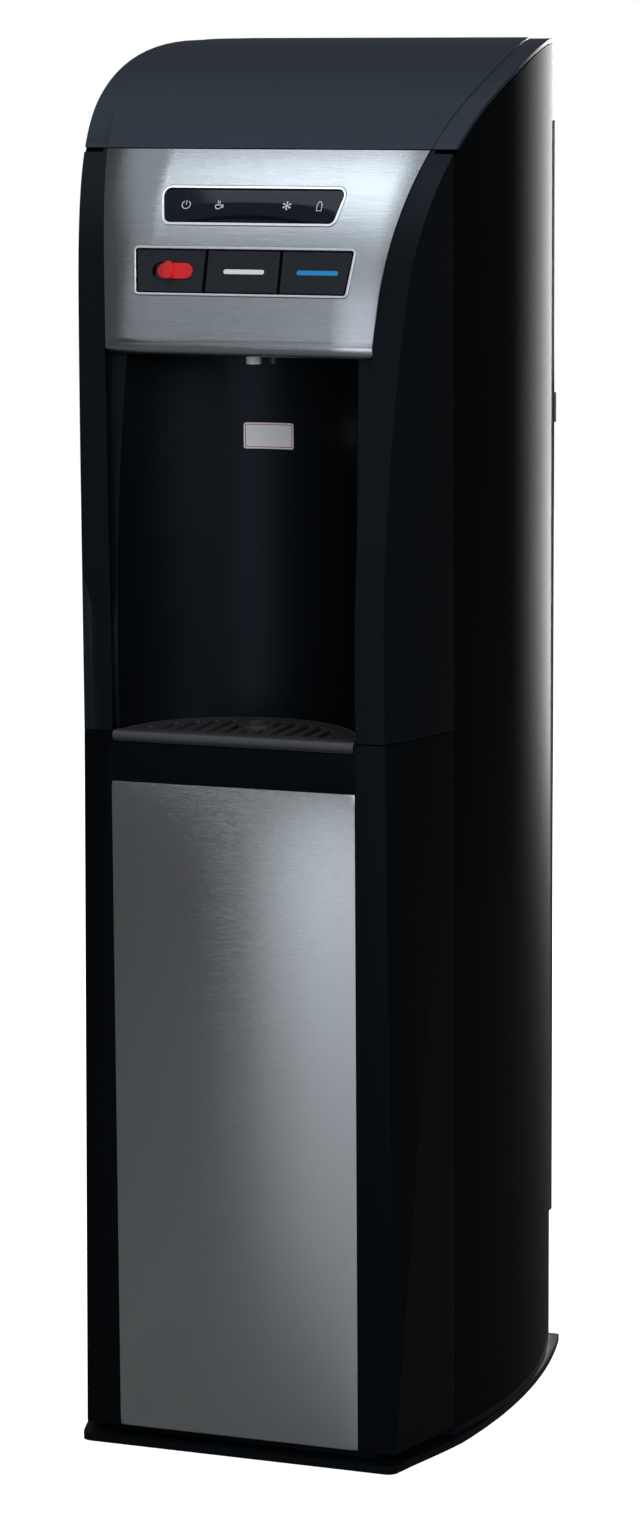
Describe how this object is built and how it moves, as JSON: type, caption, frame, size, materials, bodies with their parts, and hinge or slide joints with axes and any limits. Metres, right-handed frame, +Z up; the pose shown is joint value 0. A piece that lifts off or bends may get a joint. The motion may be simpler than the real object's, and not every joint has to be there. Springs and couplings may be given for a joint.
{
  "type": "water dispenser",
  "caption": "Tall bottom-load water dispenser with curved steel control panel, round alcove with drip tray, push buttons and a bottle door.",
  "frame": {"origin": "on the floor below the middle of the bounding box", "axes": "+Z up, the front of the dispenser faces -Y, +X to its right seen from the front"},
  "size_m": [0.328, 0.3885, 1.082],
  "materials": {
    "black_moulding": "satin black moulding",
    "hood_plastic": "semi-gloss dark blue-grey",
    "black_paint": "satin black paint",
    "grey_paint": "satin grey paint",
    "zinc_steel": "zinc coated sheet",
    "brushed_steel": "brushed across",
    "bright_trim": "satin bright",
    "dark_window": "gloss black window",
    "circuit_board": "green lacquer",
    "tray_plastic": "satin dark grey",
    "liner_plastic": "vacuum formed light grey",
    "button_plastic": "satin dark grey",
    "works_plastic": "plain black",
    "red_plastic": "semi-gloss red",
    "green_plastic": "semi-gloss green",
    "white_plastic": "satin white",
    "blue_plastic": "semi-gloss light blue",
    "hose": "translucent silicone",
    "tank_steel": "plain stainless",
    "foam": "moulded foam",
    "compressor_paint": "black enamel",
    "rubber": "black rubber",
    "copper": "drawn copper",
    "box_steel": "grey paint",
    "condenser_paint": "black dipped paint"
  },
  "bodies": {
    "cabinet": {"base": "black_moulding", "rubber_feet": "rubber", "bottle_guide": "tray_plastic", "left_side_panel": "black_paint", "right_side_panel": "black_paint", "rear_panel": "grey_paint", "side_posts": "zinc_steel", "front_rail": "zinc_steel", "mid_shelf": "zinc_steel", "front_surround": "black_moulding", "top_cover": "hood_plastic", "alcove_liner": "black_moulding", "hinge_pins": "zinc_steel", "magnet_catch": "tray_plastic", "fascia": "brushed_steel", "window_bezel": "bright_trim", "display_window": "dark_window", "display_board": "circuit_board", "button_bezel": "bright_trim", "button_housing": "works_plastic", "button_switches": "works_plastic", "nozzle": "white_plastic", "hot_spout": "works_plastic", "blank_plate": "white_plastic", "outlet_valves": "white_plastic", "water_lines": "hose", "cold_tank": "tank_steel", "cold_tank_foam": "foam", "hot_tank": "tank_steel", "tank_shelf": "zinc_steel", "compressor": "compressor_paint", "compressor_mounts": "rubber", "filter_drier": "copper", "refrigerant_lines": "copper", "bottle_pump": "works_plastic", "probe_hanger": "zinc_steel", "power_box": "box_steel", "switch_frames": "works_plastic", "condenser_coil": "condenser_paint", "condenser_wires": "condenser_paint", "condenser_rails": "condenser_paint", "power_gland": "works_plastic", "drain_outlet": "white_plastic"},
    "door": {"door_shell": "black_moulding", "door_skin": "brushed_steel", "door_liner": "liner_plastic", "door_strike": "zinc_steel"},
    "hot_button": {"hot_button": "button_plastic"},
    "room_button": {"room_button": "button_plastic", "room_bar": "white_plastic"},
    "cold_button": {"cold_button": "button_plastic", "cold_bar": "blue_plastic"},
    "lock_slider": {"lock_slider": "red_plastic"},
    "tray": {"drip_tray": "tray_plastic"},
    "grille": {"drip_grille": "tray_plastic"},
    "hot_switch": {"hot_switch": "red_plastic"},
    "cold_switch": {"cold_switch": "green_plastic"},
    "probe": {"bottle_probe": "white_plastic", "probe_hose": "hose"},
    "drain_cap": {"drain_cap": "works_plastic"}
  },
  "joints": [
    {"name": "door_hinge", "type": "hinge", "parent": "cabinet", "child": "door", "pos_m": [-0.14002, -0.10855, 0.29], "axis": [0, 0, -1], "range_deg": [0, 105]},
    {"name": "hot_press", "type": "slide", "parent": "cabinet", "child": "hot_button", "axis": [0, 0.9574, -0.2887], "range_m": [0, 0.003], "stiffness_N_per_m": 600, "springref_m": -0.0015},
    {"name": "room_press", "type": "slide", "parent": "cabinet", "child": "room_button", "axis": [0, 0.9574, -0.2887], "range_m": [0, 0.003], "stiffness_N_per_m": 600, "springref_m": -0.0015},
    {"name": "cold_press", "type": "slide", "parent": "cabinet", "child": "cold_button", "axis": [0, 0.9574, -0.2887], "range_m": [0, 0.003], "stiffness_N_per_m": 600, "springref_m": -0.0015},
    {"name": "lock_slide", "type": "slide", "parent": "hot_button", "child": "lock_slider", "axis": [-1, 0, 0], "range_m": [0, 0.0048]},
    {"name": "tray_lift", "type": "slide", "parent": "cabinet", "child": "tray", "axis": [0, 0, 1], "range_m": [0, 0.06]},
    {"name": "grille_lift", "type": "slide", "parent": "tray", "child": "grille", "axis": [0, 0, 1], "range_m": [0, 0.03]},
    {"name": "hot_switch_rock", "type": "hinge", "parent": "cabinet", "child": "hot_switch", "pos_m": [-0.03, 0.18025, 1.036], "axis": [-1, 0, 0], "range_deg": [0, 16]},
    {"name": "cold_switch_rock", "type": "hinge", "parent": "cabinet", "child": "cold_switch", "pos_m": [0.03, 0.18025, 1.036], "axis": [-1, 0, 0], "range_deg": [0, 16]},
    {"name": "probe_lift", "type": "slide", "parent": "cabinet", "child": "probe", "axis": [0, 0, 1], "range_m": [0, 0.01], "deforming": ["probe_hose"]},
    {"name": "drain_cap_turn", "type": "hinge", "parent": "cabinet", "child": "drain_cap", "pos_m": [-0.06, 0.18625, 0.08], "axis": [0, 1, 0], "continuous": true}
  ]
}
